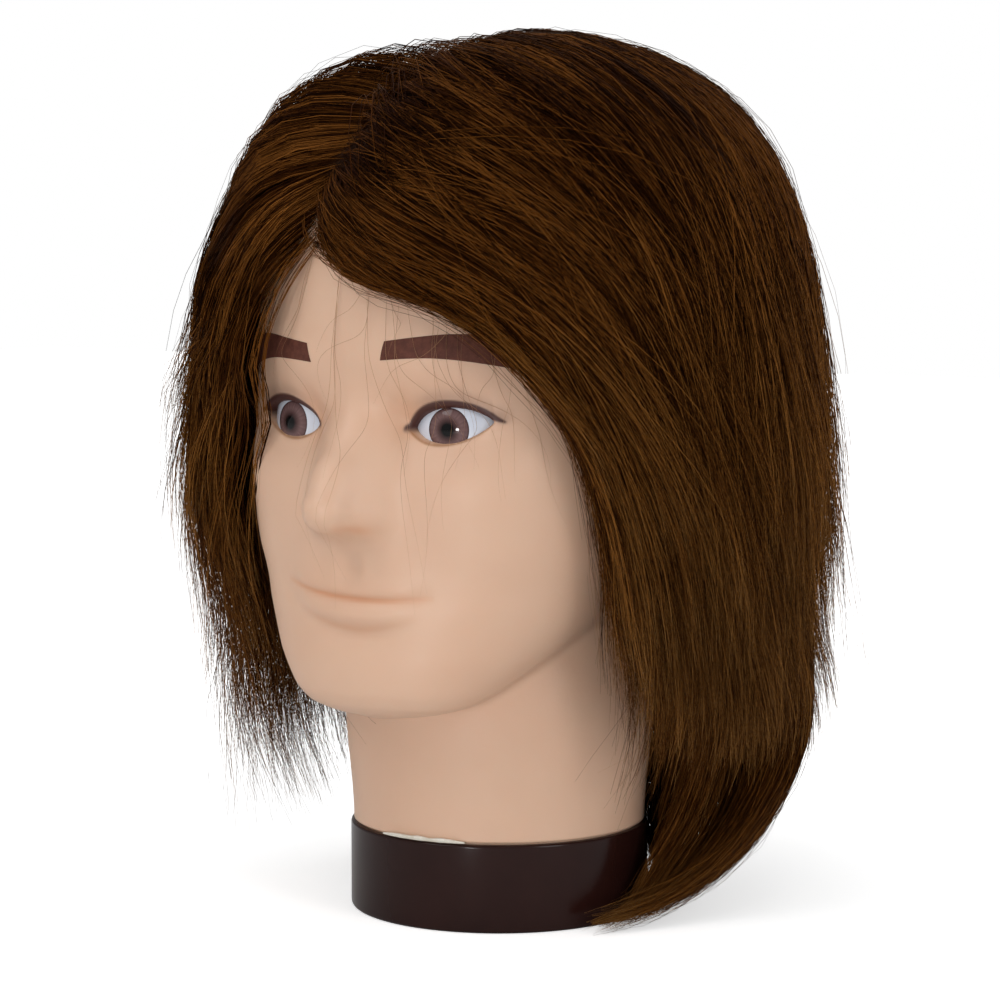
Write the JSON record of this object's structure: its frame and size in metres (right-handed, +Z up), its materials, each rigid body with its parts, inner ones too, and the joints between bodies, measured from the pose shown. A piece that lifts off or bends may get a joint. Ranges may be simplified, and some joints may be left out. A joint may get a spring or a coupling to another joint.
{
  "type": "mannequin training head",
  "caption": "Hairdressing practice head: hollow soft-vinyl face and neck, inset eyes, rooted layered brown hair with a long nape lock, and a round dark base cup with a clamp socket underneath.",
  "frame": {"origin": "the middle of the bounding box, on the plane the base cup stands on", "axes": "+Z up; the face looks along -Y; +X is the head's own left"},
  "size_m": [0.192, 0.215, 0.284],
  "materials": {
    "skin": "smooth matte-satin peach soft vinyl, moulded-in colour",
    "latex": "brushed-on cream latex",
    "foam": "rigid cell foam",
    "cup": "glossy very dark brown moulding",
    "socket": "black moulding, light texture",
    "glue": "dried off-white adhesive, lumpy",
    "eye_white": "polished bluish white",
    "iris": "printed mauve-brown with a dark rim",
    "pupil": "black",
    "cornea": "clear polished dome",
    "hair": "long straight hair, dark chestnut with golden strands"
  },
  "bodies": {
    "root": {"head_skin": "skin", "scalp_seal": "latex", "foam_core": "foam", "base_cup": "cup", "clamp_socket": "socket", "seam_glue": "glue", "cup_rib_1": "cup", "cup_rib_2": "cup", "cup_rib_3": "cup", "cup_rib_4": "cup", "cup_rib_5": "cup", "cup_rib_6": "cup", "eye_dome_left": "eye_white", "eye_dome_right": "eye_white", "iris_left": "iris", "iris_right": "iris", "pupil_left": "pupil", "pupil_right": "pupil", "cornea_left": "cornea", "cornea_right": "cornea", "hair_fringe_left": "hair", "hair_fringe_right": "hair", "hair_top_left": "hair", "hair_top_right": "hair", "hair_crown": "hair", "hair_temple_left": "hair", "hair_temple_right": "hair", "hair_side_left": "hair", "hair_side_right": "hair", "hair_under_left": "hair", "hair_under_right": "hair", "hair_occipital": "hair", "hair_nape": "hair", "hair_tail": "hair"}
  },
  "joints": []
}
